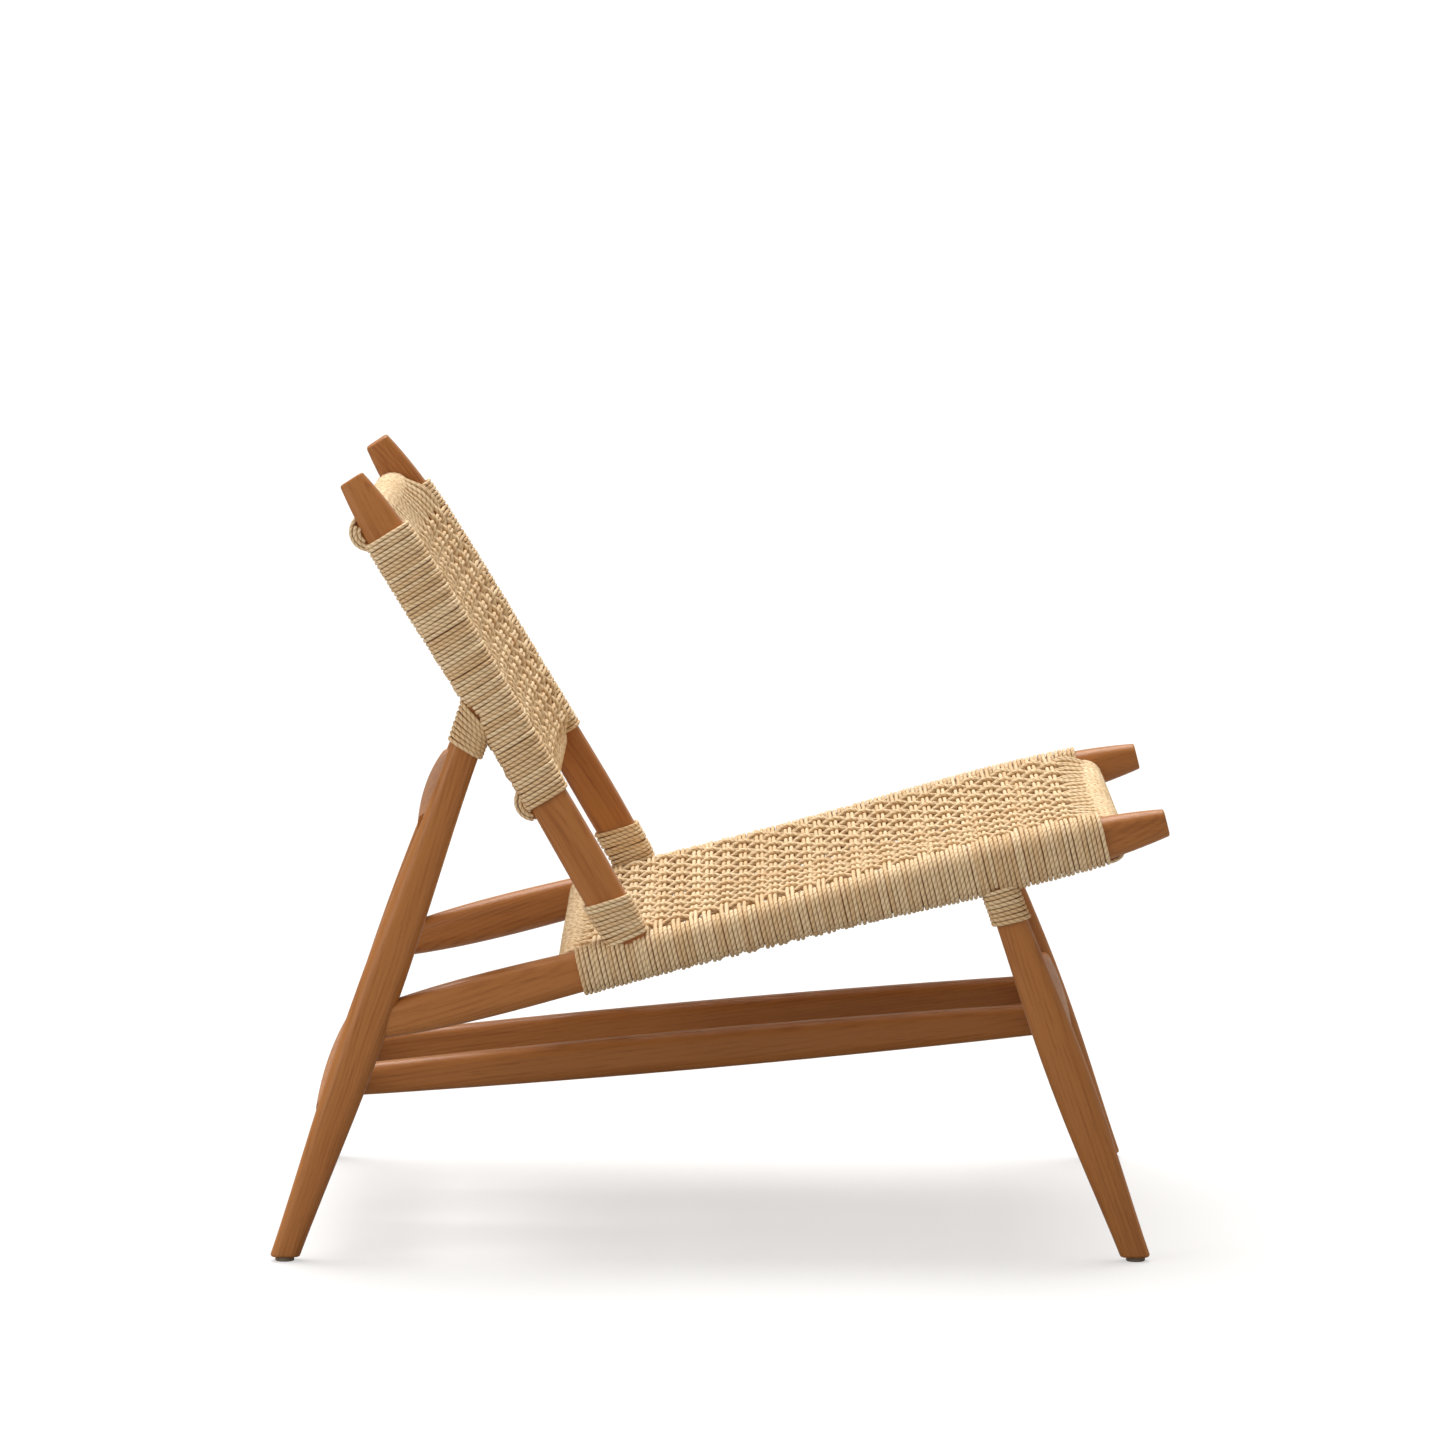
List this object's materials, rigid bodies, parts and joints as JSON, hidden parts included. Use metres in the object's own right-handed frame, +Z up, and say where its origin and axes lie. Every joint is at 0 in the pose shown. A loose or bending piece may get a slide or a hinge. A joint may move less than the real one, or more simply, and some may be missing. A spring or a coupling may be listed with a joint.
{
  "type": "lounge chair",
  "caption": "Low armless lounge chair: solid wood frame on splayed legs with stretchers, seat and back woven from twisted natural cord.",
  "frame": {"origin": "centre of the footprint, on the floor under the glides", "axes": "+X forward, from the back towards the noses of the seat rails; +Y to the sitter's left; +Z up"},
  "size_m": [0.8001, 0.6256, 0.7003],
  "materials": {
    "frame_wood": "satin oiled",
    "cord": "natural twisted cord",
    "glide": "matte"
  },
  "bodies": {
    "root": {"seat_rail_right": "frame_wood", "seat_rail_left": "frame_wood", "upright_right": "frame_wood", "upright_left": "frame_wood", "front_leg_right": "frame_wood", "front_leg_left": "frame_wood", "rear_leg_right": "frame_wood", "rear_leg_left": "frame_wood", "rear_low_stretcher": "frame_wood", "rear_high_stretcher": "frame_wood", "front_low_stretcher": "frame_wood", "long_stretcher_right": "frame_wood", "long_stretcher_left": "frame_wood", "front_seat_bar": "frame_wood", "rear_seat_bar": "frame_wood", "top_back_bar": "frame_wood", "lower_back_bar": "frame_wood", "front_glide_right": "glide", "front_glide_left": "glide", "rear_glide_right": "glide", "rear_glide_left": "glide", "seat_weave": "cord", "seat_weave_under": "cord", "back_weave": "cord", "back_weave_under": "cord", "seat_rail_wrap_right": "cord", "seat_rail_wrap_left": "cord", "upright_wrap_right": "cord", "upright_wrap_left": "cord", "front_seat_bar_wrap": "cord", "rear_seat_bar_wrap": "cord", "top_back_bar_wrap": "cord", "lower_back_bar_wrap": "cord", "upright_collar_right": "cord", "upright_collar_left": "cord", "front_leg_collar_right": "cord", "front_leg_collar_left": "cord", "rear_leg_collar_right": "cord", "rear_leg_collar_left": "cord"}
  },
  "joints": []
}
